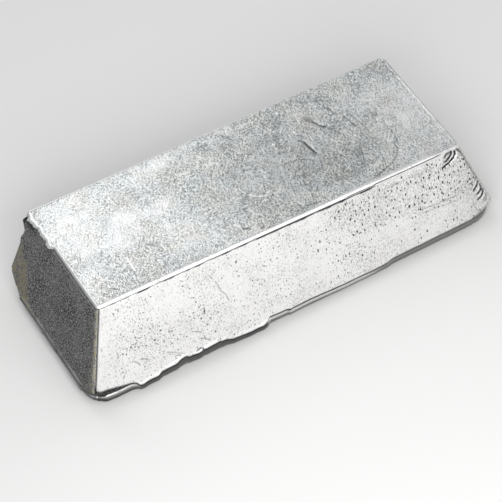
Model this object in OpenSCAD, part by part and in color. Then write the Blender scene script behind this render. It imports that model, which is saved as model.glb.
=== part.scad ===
// Hand-cast pewter ingot, turned out of its mould and lying on the free surface of the pour,
// with the narrow face that took the mould floor on top.
// X runs along the ingot, the side with the clean lip faces -Y, and Z is up.
// The origin lies on the free surface, under the middle of the rim outline.

/* [Mould] */
// Length of the mould floor, the narrow face on top
floor_length = 140; // [90:1:220]
// Width of the mould floor
floor_width = 54; // [36:0.5:90]
// Draft of the two end walls, in degrees from upright
end_draft = 17.7; // [6:0.1:25]
// Draft of the two long walls, in degrees from upright
side_draft = 14.5; // [6:0.1:25]
// Radius of the upright mould corners
mould_corner_radius = 1.6; // [0.6:0.1:4]
// Lengthwise lean of the mould while it was filled, which leaves the left end deeper
pour_tilt = 1.7; // [0:0.1:4]

/* [Pour] */
// Depth of metal over the mould floor, at mid-length
pour_depth = 37; // [24:0.5:60]
// Height of the rim, the line where the metal left the mould wall
rim_height = 5; // [4:0.25:8]
// Radius of the rolled edge under the rim
roll_radius = 4; // [1.5:0.25:6]
// Plan radius of the front left rim corner, where the melt drew back from the mould
front_left_radius = 10.5; // [7:0.5:18]
// Plan radius of the front right rim corner
front_right_radius = 10.5; // [7:0.5:18]
// Plan radius of the back left rim corner
back_left_radius = 11.5; // [7:0.5:18]
// Plan radius of the back right rim corner
back_right_radius = 11; // [7:0.5:18]
// Height up the mould corners to which the melt drew back from them
draw_back_height = 12.5; // [9:0.5:20]

/* [Flash] */
// Reach of the lip of flash beyond the edge of the mould floor
lip_reach = 0.6; // [0.2:0.1:1.5]
// Thickness of the lip of flash
lip_thickness = 0.9; // [0.4:0.1:2]
// Reach of the torn strip of flash that still hangs on the left end
torn_reach = 2.2; // [1:0.1:4]
// Length of that torn strip, from the back corner
torn_length = 20; // [8:0.5:30]
// Reach of the fin that leaked out of the seam of the back left mould corner
fin_reach = 2.1; // [1:0.1:5]
// Depth below the mould floor at which that fin starts
fin_start = 2.4; // [1.2:0.1:3]
// Depth below the mould floor of its tip
fin_tip = 4.5; // [3.5:0.1:6]
// Depth below the mould floor at which it ends
fin_end = 10; // [7:0.1:14]
// Thickness of that fin
fin_thickness = 0.7; // [0.4:0.1:1.5]

/* [Hidden] */
$fn = 32;

pewter = "#b9bcbc";

// Slices that only carry an outline into a hull are this thick
outline_slice = 0.01;
// The mould and the melt reach this far past each other, so that no faces coincide
overlap = 3;

end_slope = tan(end_draft);
side_slope = tan(side_draft);

// Corners are named by their direction along X and Y
LEFT = -1;
RIGHT = 1;
FRONT = -1;
BACK = 1;

// Depth below the mould floor, down the wall of one end, at which that wall meets the rim
function rim_depth(end) =
    (pour_depth - rim_height - end * floor_length / 2 * sin(pour_tilt))
    / (cos(pour_tilt) + end * end_slope * sin(pour_tilt));

// Place of the rim along the length at one end, before the outline is centred
function rim_reach(end) =
    end * (floor_length / 2 + rim_depth(end) * end_slope) * cos(pour_tilt)
    - rim_depth(end) * sin(pour_tilt);

// Half the width of the rim at one end
function rim_half_width(end) = floor_width / 2 + rim_depth(end) * side_slope;

rim_half_length = (rim_reach(RIGHT) - rim_reach(LEFT)) / 2;
mould_shift = -(rim_reach(RIGHT) + rim_reach(LEFT)) / 2;
mould_depth = pour_depth + floor_length / 2 * sin(pour_tilt) + overlap;

// Flat plate with rounded corners, standing on its lower face
module rounded_plate(length, width, radius, thickness) {
    linear_extrude(thickness) {
        square([length - 2 * radius, width], center = true);
        square([length, width - 2 * radius], center = true);
        for (end = [LEFT, RIGHT], side = [FRONT, BACK])
            translate([end * (length / 2 - radius), side * (width / 2 - radius)])
                circle(radius);
    }
}

// Places its children, drawn with the mould floor on z = 0, as the mould stood at the pour
module in_mould() {
    translate([mould_shift, 0, pour_depth])
        rotate([0, pour_tilt, 0])
            children();
}

// Space inside the mould, upside down, from its floor to past the bottom of the pour
module mould_space() {
    hull() {
        translate([0, 0, -outline_slice])
            rounded_plate(floor_length, floor_width, mould_corner_radius, outline_slice);
        translate([0, 0, -mould_depth])
            rounded_plate(
                floor_length + 2 * mould_depth * end_slope,
                floor_width + 2 * mould_depth * side_slope,
                mould_corner_radius,
                outline_slice
            );
    }
}

// One rim corner of the melt: round in plan, with a rolled lower edge
module melt_corner(end, side, radius) {
    translate([end * (rim_half_length - radius), side * (rim_half_width(end) - radius), 0]) {
        translate([0, 0, roll_radius])
            rotate_extrude()
                translate([radius - roll_radius, 0])
                    circle(roll_radius);
        translate([0, 0, rim_height])
            cylinder(r = radius, h = outline_slice);
    }
}

// Outline of the mould at the rim, with its corners filled
module rim_outline() {
    polygon([
        for (corner = [[LEFT, FRONT], [RIGHT, FRONT], [RIGHT, BACK], [LEFT, BACK]])
            [corner[0] * rim_half_length, corner[1] * rim_half_width(corner[0])]
    ]);
}

// Melt as surface tension shaped it: level below, rolled at the edge, drawn back from the corners
// near the free surface and filling the mould above that
module melt() {
    hull() {
        translate([0, 0, draw_back_height])
            linear_extrude(mould_depth)
                rim_outline();
        melt_corner(LEFT, FRONT, front_left_radius);
        melt_corner(RIGHT, FRONT, front_right_radius);
        melt_corner(LEFT, BACK, back_left_radius);
        melt_corner(RIGHT, BACK, back_right_radius);
    }
}

// Lip of flash squeezed out between the mould floor and its walls
module flash_lip() {
    translate([0, 0, -lip_thickness])
        rounded_plate(
            floor_length + 2 * lip_reach,
            floor_width + 2 * lip_reach,
            mould_corner_radius + lip_reach,
            lip_thickness
        );
}

// Ragged strip of flash on the left end, running forward from the back corner
module torn_flash() {
    root = mould_corner_radius + lip_reach;
    outline = [
        [root, 0],
        [-0.45 * torn_reach, 0],
        [-torn_reach, 0.1 * torn_length],
        [-0.7 * torn_reach, 0.25 * torn_length],
        [-0.9 * torn_reach, 0.45 * torn_length],
        [-0.6 * torn_reach, 0.65 * torn_length],
        [-0.95 * torn_reach, 0.85 * torn_length],
        [-0.8 * torn_reach, torn_length],
        [root, torn_length]
    ];
    translate([-floor_length / 2, floor_width / 2, -lip_thickness])
        mirror([0, 1, 0])
            linear_extrude(lip_thickness)
                polygon(outline);
}

// Thin fin that leaked out of the seam of the back left mould corner
module corner_fin() {
    root = 2 * mould_corner_radius;
    corner_slope = norm([end_slope, side_slope]);
    outline = [
        [fin_start * corner_slope - root, -fin_start],
        [fin_start * corner_slope, -fin_start],
        [fin_tip * corner_slope + fin_reach, -fin_tip],
        [fin_end * corner_slope, -fin_end],
        [fin_end * corner_slope - root, -fin_end]
    ];
    translate([-floor_length / 2, floor_width / 2, 0])
        rotate([90, 0, 180 - atan2(side_slope, end_slope)])
            translate([0, 0, -fin_thickness / 2])
                linear_extrude(fin_thickness)
                    polygon(outline);
}

// The one casting
module ingot() {
    color(pewter)
        union() {
            intersection() {
                in_mould() mould_space();
                melt();
            }
            in_mould() {
                flash_lip();
                torn_flash();
                corner_fin();
            }
        }
}

ingot();
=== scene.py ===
"""Hand-cast pewter ingot: its dressed casting and a plain studio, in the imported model's frame."""

import logging
import math
from dataclasses import dataclass, fields
from enum import Enum
from functools import partial, reduce
from typing import Any, Callable, Iterable, Iterator

import bmesh
import bpy
import numpy as np
from mathutils import Matrix, Vector, noise


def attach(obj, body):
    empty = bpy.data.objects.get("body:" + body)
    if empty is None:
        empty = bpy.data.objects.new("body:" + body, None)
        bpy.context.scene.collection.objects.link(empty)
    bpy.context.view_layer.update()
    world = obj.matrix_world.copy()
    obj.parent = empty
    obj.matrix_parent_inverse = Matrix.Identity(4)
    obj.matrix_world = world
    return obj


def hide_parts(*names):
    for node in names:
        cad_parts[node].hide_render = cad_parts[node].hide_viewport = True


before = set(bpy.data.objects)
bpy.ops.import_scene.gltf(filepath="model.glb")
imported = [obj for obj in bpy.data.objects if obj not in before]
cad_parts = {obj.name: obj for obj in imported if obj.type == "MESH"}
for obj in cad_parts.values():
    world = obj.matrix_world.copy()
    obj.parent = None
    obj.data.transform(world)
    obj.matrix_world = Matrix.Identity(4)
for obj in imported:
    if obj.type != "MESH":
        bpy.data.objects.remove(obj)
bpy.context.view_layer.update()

LOG = logging.getLogger("ingot")

# Sizes in this file are millimetres, and Blender's are metres
MM = 0.001

LEFT, RIGHT = -1, 1
FRONT, BACK = -1, 1

Array = np.ndarray
Tree = bpy.types.NodeTree
Socket = bpy.types.NodeSocket
# A place on a face: along the ingot and across it, or along the ingot and down the wall
Place = tuple[float, float]
# Places in order, with a value at each, or the corners of a path
Curve = tuple[Place, ...]
# A soft line: where its middle lies, its half width and its strength
Line = tuple[float, float, float]
# How a pattern's value is stretched: from a lowest and highest value to a new lowest and highest one
Stretch = tuple[float, float, float, float]


class Tone(Enum):
    """How a mark on the skin shows."""

    DARK = "darkening"
    BRIGHT = "gleam"


class Face(Enum):
    """Face of the casting that carries a mark."""

    TOP = "top"
    FRONT = "front"


def linear(hex_colour: str) -> tuple[float, float, float, float]:
    """Turns an sRGB hex colour into linear RGBA.

    Args:
        hex_colour: The colour as six hex digits after a hash sign.

    Returns:
        Linear red, green and blue, and an alpha of one.
    """
    shares = [int(hex_colour[i : i + 2], 16) / 255 for i in (1, 3, 5)]
    toe = 0.04045
    red, green, blue = [s / 12.92 if s <= toe else ((s + 0.055) / 1.055) ** 2.4 for s in shares]
    return red, green, blue, 1.0


@dataclass(frozen=True)
class Swell:
    """Smooth noise at a real size, which swings about a mean.

    Each octave lays finer noise over it, and the seed is a shift that makes it differ from others.
    """

    size: float
    octaves: int
    seed: float
    swing: float = 1.0
    mean: float = 0.0
    # How fast the octaves get weaker, and how many times finer each is
    fall_off: float = 0.8
    step: float = 2.0

    def at(self, places: Array) -> Array:
        """Works out the noise.

        Args:
            places: Places in millimetres, one row of three each.

        Returns:
            One value for each place.
        """
        points = places / self.size + self.seed
        field = [noise.fractal(Vector(point), self.fall_off, self.step, self.octaves) for point in points]
        return self.mean + self.swing * np.array(field)

    def share_at(self, places: Array, most: float = 1.0) -> Array:
        """Value at each place, kept from 0 to a most."""
        return np.clip(self.at(places), 0, most)


def smooth_step(value: Array, start: float, end: float) -> Array:
    """Rises smoothly from 0 at start to 1 at end, or falls where end lies before start."""
    share = np.clip((value - start) / (end - start), 0, 1)
    return share * share * (3 - 2 * share)


def hump(value: Array, middle: float | Array, width: float) -> Array:
    """Falls off on both sides of a middle, from 1 there, over a half width."""
    return np.exp(-(((value - middle) / width) ** 2))


def soft_line(value: Array, line: Line) -> Array:
    """Strength of a soft line at each value."""
    middle, width, strength = line
    return strength * hump(value, middle, width)


def along_curve(place: Array, curve: Curve) -> Array:
    """Value of a curve at each place along it."""
    return np.interp(place, *zip(*curve))


def distance_to_path(points: Array, path: Curve) -> Array:
    """Distance from places on a face to a path of straight stretches.

    Args:
        points: Places in millimetres, one row of two each.
        path: The path's own places, in order.

    Returns:
        The shortest distance of each place, in millimetres.
    """
    nearest = np.full(len(points), np.inf)
    for start, end in zip(path[:-1], path[1:]):
        origin = np.array(start)
        run = np.array(end) - origin
        share = np.clip((points - origin) @ run / (run @ run), 0, 1)
        gap = points - origin - share[:, None] * run
        nearest = np.minimum(nearest, np.hypot(gap[:, 0], gap[:, 1]))
    return nearest


def round_corners(
    u: Array, v: Array, half_u: Array | float, half_v: Array | float, radius: Array | float
) -> tuple[Array, Array]:
    """Rounds the corners of a rectangular grid.

    Args:
        u: Places along the rectangle.
        v: Places across it.
        half_u: Half its length.
        half_v: Half its width.
        radius: Corner radius.

    Returns:
        The new places along and across.
    """
    p = np.clip((np.abs(u) - half_u + radius) / radius, 0, 1)
    q = np.clip((np.abs(v) - half_v + radius) / radius, 0, 1)
    new_u = u - np.sign(u) * radius * p * (1 - np.sqrt(1 - q * q / 2))
    new_v = v - np.sign(v) * radius * q * (1 - np.sqrt(1 - p * p / 2))
    return new_u, new_v


@dataclass(frozen=True)
class Pour:
    """Mould and pour that shaped the ingot.

    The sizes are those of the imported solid, but for the worn corner at the back right and the height
    to which the melt drew back, because its corners bulge here and are straight there. Mould
    coordinates are u along the floor, v across it and w down from it.
    """

    floor_length: float = 140.0
    floor_width: float = 54.0
    end_draft: float = 17.7
    side_draft: float = 14.5
    mould_corner_radius: float = 1.6
    worn_corner_radius: float = 3.0
    tilt: float = 1.7
    depth: float = 37.0
    rim_height: float = 5.0
    roll_radius: float = 4.0
    draw_back_height: float = 14.0
    # Plan radius of the melt at each rim corner, by the corner's direction along X and Y
    rim_corners: tuple[tuple[int, int, float], ...] = (
        (LEFT, FRONT, 10.5), (RIGHT, FRONT, 10.5), (LEFT, BACK, 11.5), (RIGHT, BACK, 11.0),
    )

    @property
    def end_slope(self) -> float:
        """How far the end walls lean out for each millimetre down."""
        return math.tan(math.radians(self.end_draft))

    @property
    def side_slope(self) -> float:
        """How far the long walls lean out for each millimetre down."""
        return math.tan(math.radians(self.side_draft))

    @property
    def lean(self) -> tuple[float, float]:
        """Cosine and sine of the lean of the mould while it was filled."""
        return math.cos(math.radians(self.tilt)), math.sin(math.radians(self.tilt))

    def depth_at(self, along: Array | float, height: Array | float) -> Array | float:
        """Depth down the wall at which it has a height over the free surface.

        Args:
            along: Place along the ingot, from -1 at the left end to 1 at the right end.
            height: Height over the free surface.

        Returns:
            The depth below the mould floor.
        """
        cos_lean, sin_lean = self.lean
        drop = self.depth - height - along * self.floor_length / 2 * sin_lean
        return drop / (cos_lean + along * self.end_slope * sin_lean)

    def rim_reach(self, end: int) -> float:
        """Place of the rim along the length at one end, before the outline is centred."""
        cos_lean, sin_lean = self.lean
        depth = self.depth_at(end, self.rim_height)
        return end * (self.floor_length / 2 + depth * self.end_slope) * cos_lean - depth * sin_lean

    @property
    def rim_half_length(self) -> float:
        """Half the length of the rim outline."""
        return (self.rim_reach(RIGHT) - self.rim_reach(LEFT)) / 2

    def rim_half_width(self, end: int) -> float:
        """Half the width of the rim at one end."""
        return self.floor_width / 2 + self.depth_at(end, self.rim_height) * self.side_slope

    def in_room(self, u: Array | float, v: Array | float, w: Array | float) -> Array:
        """Places in the part's frame for mould coordinates, x, y and z on the last axis."""
        cos_lean, sin_lean = self.lean
        shift = -(self.rim_reach(RIGHT) + self.rim_reach(LEFT)) / 2
        x = u * cos_lean - w * sin_lean + shift
        z = self.depth - u * sin_lean - w * cos_lean
        return np.stack([x, v + 0 * x, z], axis=-1)

    def on_front(self, x: float, depth: float) -> Vector:
        """Place on the front wall in Blender's metres, from those along the part and below the floor."""
        u = (x - self.in_room(0.0, 0.0, depth)[0]) / self.lean[0]
        return Vector(self.in_room(u, -self.floor_width / 2 - depth * self.side_slope, depth)) * MM

    def on_top(self, x: float, y: float) -> Vector:
        """Place on the mould floor's face in Blender's metres, from those along and across it."""
        return Vector(self.in_room(x, y, 0.0)) * MM

    def corner_radius(self, along: Array, across: Array) -> Array:
        """Radius of the upright mould corner next to each place, which is worn at the back right."""
        return np.where((along > 0) & (across > 0), self.worn_corner_radius, self.mould_corner_radius)


@dataclass(frozen=True)
class Columns:
    """Columns of cells down the sides, round from the front left corner.

    Each has its grid lines, its place along and across the mould floor from -1 to 1 and in
    millimetres, and whether it lies on the front and on the left end.
    """

    i: Array
    j: Array
    a: Array
    b: Array
    x: Array
    y: Array
    front: Array
    left: Array

    @property
    def floor_places(self) -> Array:
        """Places on the mould floor, as rows of three."""
        return np.stack([self.x, self.y, 0 * self.x], axis=-1)


@dataclass(frozen=True)
class Blank:
    """Closed block of cells that is pressed into the casting's shape.

    It has a fine grid on top, rows of cells down its sides and a coarse grid below.
    """

    length_cells: int = 284
    width_cells: int = 104
    below_length_cells: int = 66
    below_width_cells: int = 26
    # Narrow cells along each edge of the top, and how wide they are
    edge_cells: int = 6
    edge_step: float = 0.25
    # Rows of the walls, with the share of the wall's depth that they have reached
    wall_gauge: Curve = ((0, 0.0), (20, 0.2), (44, 0.85), (56, 1.0))
    # The columns crowd together over the last stretch of the right end, where the skin is folded
    crowded_length: float = 11.0
    crowding_length: float = 3.0
    crowding: float = 2.0
    # Steps in which the crowding is worked out, for each cell
    gauge_steps: int = 20

    @property
    def wall_rows(self) -> int:
        """Number of rows of the walls."""
        return self.wall_gauge[-1][0]

    def wall_shares(self) -> Array:
        """Share of the wall's depth that each of its rows has reached."""
        return along_curve(np.arange(1, self.wall_rows + 1), self.wall_gauge)

    def lines(self, cells: int, length: float, crowding: float = 0.0) -> Array:
        """Places of the grid lines across one side, close together near both ends.

        Args:
            cells: Number of cells.
            length: Length of the side in millimetres.
            crowding: How much closer than elsewhere the lines lie near the right end.

        Returns:
            Places from -1 to 1.
        """
        edge = length / 2 - self.edge_step * np.arange(self.edge_cells)
        inner = length / 2 - self.edge_step * self.edge_cells
        gauge = np.linspace(-inner, inner, self.gauge_steps * cells)
        start = inner - self.crowded_length
        counted = np.cumsum(1 + crowding * smooth_step(gauge, start, start + self.crowding_length))
        shares = (counted - counted[0]) / (counted[-1] - counted[0])
        middle = np.interp(np.linspace(0, 1, cells - 2 * self.edge_cells + 1), shares, gauge)
        return np.concatenate([-edge, middle, edge[::-1]]) / (length / 2)

    def columns(self, along: Array, across: Array, pour: Pour) -> Columns:
        """Columns of the sides.

        Args:
            along: Places of the grid lines along the ingot, from -1 to 1.
            across: Those of the lines across it.
            pour: Mould that the columns lie in.

        Returns:
            The columns in order.
        """
        last_i, last_j = self.length_cells, self.width_cells
        front = [(i, 0) for i in range(last_i)]
        right = [(last_i, j) for j in range(last_j)]
        back = [(i, last_j) for i in range(last_i, 0, -1)]
        left = [(0, j) for j in range(last_j, 0, -1)]
        i, j = np.array(front + right + back + left).T
        a, b = along[i], across[j]
        x, y = a * pour.floor_length / 2, b * pour.floor_width / 2
        return Columns(i, j, a, b, x, y, (j == 0).astype(float), (i == 0).astype(float))

    def build(self, rows: int) -> bmesh.types.BMesh:
        """Makes the block, with its grid lines on whole numbers.

        Args:
            rows: Number of rows of cells down the sides.

        Returns:
            The block, with its top at height 0, one row for each unit below and the coarse
            grid one unit below the last row.
        """
        block = bmesh.new()
        scale = Matrix.Diagonal((self.length_cells / 2, self.width_cells / 2, 1, 1))
        to_lines = scale @ Matrix.Translation((1, 1, 0))
        bmesh.ops.create_grid(
            block, x_segments=self.length_cells, y_segments=self.width_cells, size=1, matrix=to_lines
        )
        edges = [edge for edge in block.edges if edge.is_boundary]
        for _ in range(rows):
            made = bmesh.ops.extrude_edge_only(block, edges=edges)["geom"]
            lower = [item for item in made if isinstance(item, bmesh.types.BMVert)]
            bmesh.ops.translate(block, vec=(0, 0, -1), verts=lower)
            edges = [item for item in made if isinstance(item, bmesh.types.BMEdge) and item.is_boundary]
        below = bmesh.ops.create_grid(
            block,
            x_segments=self.below_length_cells,
            y_segments=self.below_width_cells,
            size=1,
            matrix=Matrix.Translation((0, 0, -rows - 1)) @ to_lines,
        )["verts"]
        rest = {edge for vert in below for edge in vert.link_edges if edge.is_boundary}
        bmesh.ops.bridge_loops(block, edges=edges + list(rest))
        bmesh.ops.recalc_face_normals(block, faces=block.faces[:])
        return block


@dataclass(frozen=True)
class FlashLip:
    """Lip of flash squeezed out between the mould floor and its walls.

    Each reach is a curve along an edge: how far the lip stands out there.
    """

    # Depth below the mould floor of each row of the lip, and the share of its reach there
    profile: Curve = (
        (0.62, 0.90), (0.72, 1.0), (0.80, 1.0), (0.88, 0.92), (0.95, 0.75),
        (1.02, 0.50), (1.08, 0.25), (1.14, 0.08), (1.30, 0.0),
    )
    # Share of the reach that the lip has at its top edge
    top_share: float = 0.72
    # The lip is a bead with a broad outer slope: its height over the mould floor, cell by cell from its edge
    bead: tuple[float, ...] = (-0.55, -0.25, 0.02, 0.18, 0.20, -0.05, -0.06, -0.02)
    # Painted highlight along the bead, cell by cell from its edge
    bead_highlight: tuple[float, ...] = (1.0, 1.0, 1.0, 0.9, 0.8, 0.2, 0.0)
    # Reach at which the bead has its full size, how much it can grow past that, reaches between which a
    # torn strip loses its bead, and the share of its painted highlight that a flat one keeps
    full_reach: float = 0.4
    largest: float = 1.1
    torn_reach: Place = (0.6, 0.9)
    torn_loss: float = 0.75
    flat_highlight: float = 0.4
    # How many times narrower the bead is away from the split, and on the left end, where it is flatter
    narrowing: float = 1.5
    left_narrowing: float = 1.9
    left_flatness: float = 0.5
    # Depth at which painted shade in the crevice under the lip starts, and to which it goes along the front,
    # less in places; how softly it starts and ends, and how dark it is
    crevice_start: float = 0.98
    crevice_end: Curve = ((-30, 1.95), (5, 2.25))
    crevice_short: float = 0.45
    crevice_waver: Swell = Swell(5.0, 3, 30.0, 1.0, 0.5)
    crevice_edges: Place = (0.12, 0.35)
    crevice_dark: float = 0.95
    front_reach: Curve = (
        (-70, 0.55), (-60, 0.62), (-47.4, 0.55), (-46.6, 0.05), (-45.8, 0.5), (-30, 0.6),
        (-27.4, 0.35), (-26.5, 0.55), (-10.6, 0.5), (-9.9, 0.2), (-9.2, 0.5), (22, 0.52),
        (35.4, 0.6), (36.6, 0.5), (58, 0.46), (66, 0.15), (70, 0.05),
    )
    back_reach: Curve = (
        (-70, 0.9), (-64, 0.45), (-57, 0.6), (-54, 0.35), (-20, 0.4), (8, 0.5), (9, 0.35), (70, 0.3),
    )
    left_reach: Curve = (
        (-27, 0.45), (-20, 0.55), (4, 0.5), (6.4, 0.45), (6.9, 1.7), (7.6, 2.3), (8.4, 1.9),
        (9.4, 2.2), (10.2, 1.5), (11.4, 1.2), (12.4, 1.7), (13.4, 1.5), (14.4, 1.9), (15.4, 1.3),
        (16.6, 1.5), (17.6, 1.0), (18.4, 1.7), (19.4, 2.1), (20.4, 1.8), (21.6, 2.3), (22.4, 2.1),
        (23.2, 2.9), (24.0, 1.9), (24.8, 1.3), (25.6, 1.6), (26.4, 1.1), (27, 0.9),
    )
    right_reach: Curve = ((-27, 0.1), (-15, 0.18), (10, 0.22), (27, 0.2))
    # Stretch of the front edge where a fine groove splits the lip into two ridges, and how it comes and goes
    split_start: Place = (24.0, 26.0)
    split_end: Place = (64.0, 61.0)
    narrowing_stretch: Place = (20.0, 28.0)
    # That groove and the ridge below it: depth, half width and how far they go in or out
    groove: Line = (0.72, 0.12, 0.2)
    ridge: Line = (1.2, 0.32, 0.3)
    # Stretch of the front edge past which the lip runs out into the wall without an undercut; the share of
    # its reach that it has there at the top, how much less for each millimetre down, and the least
    fairing: Place = (35.9, 36.7)
    faired_share: tuple[float, float, float] = (1.25, 0.9, 0.25)

    def reach(self, ends: bool, sign: Array, place: Array) -> Array:
        """How far the lip stands out.

        Args:
            ends: Whether the lip on the two ends is meant, and not that on the long sides.
            sign: Direction of the end or side, -1 or 1.
            place: Place along that edge.

        Returns:
            The reach in millimetres.
        """
        low, high = (self.left_reach, self.right_reach) if ends else (self.front_reach, self.back_reach)
        return np.where(sign < 0, along_curve(place, low), along_curve(place, high))

    def size(self, reach: Array, most: float = 1.0) -> Array:
        """Size of the lip as a share of a full one, where it has a reach, up to a most."""
        return np.clip(reach / self.full_reach, 0, most)

    def narrowed(self, ends: bool, sign: Array, place: Array) -> Array:
        """How many times narrower the bead is than on the split stretch of the front.

        Args:
            ends: Whether the bead on the two ends is meant, and not that on the long sides.
            sign: Direction of the end or side, -1 or 1.
            place: Place along that edge.

        Returns:
            The number of times.
        """
        front = np.interp(place, self.narrowing_stretch, (self.narrowing, 1.0))
        return np.where(sign < 0, self.left_narrowing if ends else front, self.narrowing)

    def split(self, columns: Columns) -> Array:
        """How much the front lip is split in each column, from 0 to 1."""
        stretch = smooth_step(columns.x, *self.split_start) * smooth_step(columns.x, *self.split_end)
        return columns.front * stretch

    def second_ridge(self, columns: Columns, depth: Array) -> Array:
        """How far the second ridge stands out of the front wall, and the groove above it lies in."""
        return self.split(columns) * (soft_line(depth, self.ridge) - soft_line(depth, self.groove))

    def side_highlight(self, columns: Columns, reach: Array, depth: Array) -> Array:
        """Painted highlight on the sides of the lip and on the second ridge, by row and column, for its
        reach in each column.
        """
        bead = smooth_step(depth, self.crevice_start, self.crevice_start - self.crevice_edges[0])
        return np.maximum(bead * self.size(reach), self.split(columns) * hump(depth, *self.ridge[:2]))

    def faired(self, columns: Columns) -> Array:
        """How much the front lip runs out into the wall in each column, from 0 to 1."""
        return columns.front * smooth_step(columns.x, *self.fairing)

    def share(self, row: int, columns: Columns) -> Array:
        """Share of its reach that the lip has in one row.

        Args:
            row: Number of the row in the lip's profile.
            columns: Columns of the sides.

        Returns:
            The share for each column.
        """
        (depth, plain), (top, fall, least) = self.profile[row], self.faired_share
        faired, slope = self.faired(columns), np.clip(top - fall * depth, least, 1)
        return plain * (1 - faired) + np.maximum(plain, slope) * faired

    def painted_shade(self, columns: Columns, reach: Array, depth: Array) -> Array:
        """How dark the painted shade in the crevice under the lip and in the groove of the split lip is.

        Args:
            columns: Columns of the sides.
            reach: Reach of the lip in each column.
            depth: Depth below the mould floor, by row and column.

        Returns:
            Darkness by row and column, from 0 to 1.
        """
        start, end = self.crevice_start, along_curve(columns.x, self.crevice_end)
        edge, fade = self.crevice_edges
        end = end - self.crevice_short * (1 - self.crevice_waver.share_at(columns.floor_places * (1, 0, 0)))
        under = smooth_step(depth, start, start + edge) * smooth_step(depth - end, 0, -fade)
        under = self.crevice_dark * under * self.size(reach) * (1 - self.faired(columns))
        return np.maximum(under, self.split(columns) * hump(depth, *self.groove[:2]))


@dataclass(frozen=True)
class Rim:
    """Rim, where the skin left the mould wall: its ragged edge, and the fine bead under it."""

    # Change of the rim's height along the front, where the skin lapped over itself
    front_laps: Curve = (
        (-80, 0.0), (-75, 1.1), (-66, 1.0), (-63.6, 0.2), (-62.9, -0.8), (-61.2, -1.2), (-60, -0.8),
        (-55.4, -0.8), (-54.4, 0.0), (-48.6, 0.3), (-47.2, 1.1), (-44.6, 1.4), (-43.8, 0.6), (-39.2, 0.2),
        (-38.2, 0.7), (-36.8, 0.4), (-32, 0.9), (-31, 0.5), (-29.4, 0.4), (-28.4, -0.1), (-26.6, -0.7),
        (-23.4, -0.8), (-20, -1.3), (-15, -1.3), (-13.4, -0.7), (-12.2, 0.6), (-8, 0.3), (-5.2, 0.3),
        (-4.4, -0.3), (0, -0.2), (8, -0.4), (16, -0.7), (28, -0.9), (34, -0.8), (37, 0.0),
    )
    # Stretches over which the lapped part of the front comes and goes
    lap_start: Place = (-65, -62)
    lap_end: Place = (-12, -14)
    # Unevenness of the height of the whole rim, of the bulge above a lap and of the ledge of the left end
    waver: Swell = Swell(9.0, 2, 4.0, 0.14)
    flutter: Swell = Swell(5.0, 2, 9.0, 0.5, 0.5)
    ledge: Swell = Swell(4.0, 3, 50.0, 0.8, 0.55)
    # Drop below the rim of each row of the fine bead, how far it stands out, how dark its painted shade is
    # and how bright its painted highlight is
    bead: tuple[tuple[float, float, float, float], ...] = (
        (0.16, -0.30, 0.9, 0.0), (0.5, -0.34, 1.0, 0.0), (0.75, 0.05, 0.25, 0.7), (1.05, 0.18, 0.0, 1.0),
        (1.5, 0.05, 0.1, 0.5),
    )
    # How much further the bead stands out on the left end
    left_ledge: float = 0.42
    # Rows of the rolled edge, and how often its direction is smoothed
    roll_rows: int = 8
    smoothing: int = 12
    # The skin bulges out by this much over the last millimetres above a lap, and the bead is flatter there
    lap_bulge: float = 0.5
    lap_height: float = 1.3
    lap_flatness: float = 0.7
    # Painted shade on the bead and the rolled edge at a lap, and on the rolled edge elsewhere along the
    # front
    bead_shade: float = 0.6
    roll_shade: float = 0.5
    front_roll_shade: float = 0.3
    # Front left corner, where the skin drew back and painted shade lies: its height over the rim, its
    # length, its round corner, how dark the painted shade is and how soft its edge is
    corner_height: float = 3.0
    corner_length: float = 13.0
    corner_round: float = 3.4
    corner_shade: float = 0.55
    corner_edge: Place = (-0.2, 0.3)
    # Painted highlight in a line along the left end, by its height over the rim
    left_highlight: Line = (0.9, 0.6, 0.9)
    # The groove under the rim: how deep it is everywhere, and where it gets shallow along the front
    groove_least: float = 0.35
    groove_end: Place = (34.0, 24.0)

    def lap(self, columns: Columns, rim_x: Array) -> Array:
        """How much each column lies in the lapped stretch of the front, from 0 to 1."""
        return columns.front * smooth_step(rim_x, *self.lap_start) * smooth_step(rim_x, *self.lap_end)

    def groove(self, columns: Columns, rim_x: Array) -> Array:
        """How deep the groove under the rim is in each column, and how strong its painted shade and the
        bead's painted highlight are, from 0 to 1.
        """
        deep = columns.front * smooth_step(rim_x, *self.groove_end)
        return self.groove_least + (1 - self.groove_least) * deep

    def corner_shadow(self, from_corner: Array, over_rim: Array) -> Array:
        """How much the skin has drawn back at the front left corner, which is where its painted shade lies.

        Args:
            from_corner: Distance along the front from that corner.
            over_rim: Height over the rim.

        Returns:
            Values from 0 to 1.
        """
        short = np.clip(self.corner_round - from_corner, 0, self.corner_round)
        rounding = self.corner_round - np.sqrt(self.corner_round**2 - short**2)
        top = self.corner_height * np.clip(1 - from_corner / self.corner_length, 0, 1) + rounding
        return smooth_step(top - over_rim, *self.corner_edge)


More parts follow.
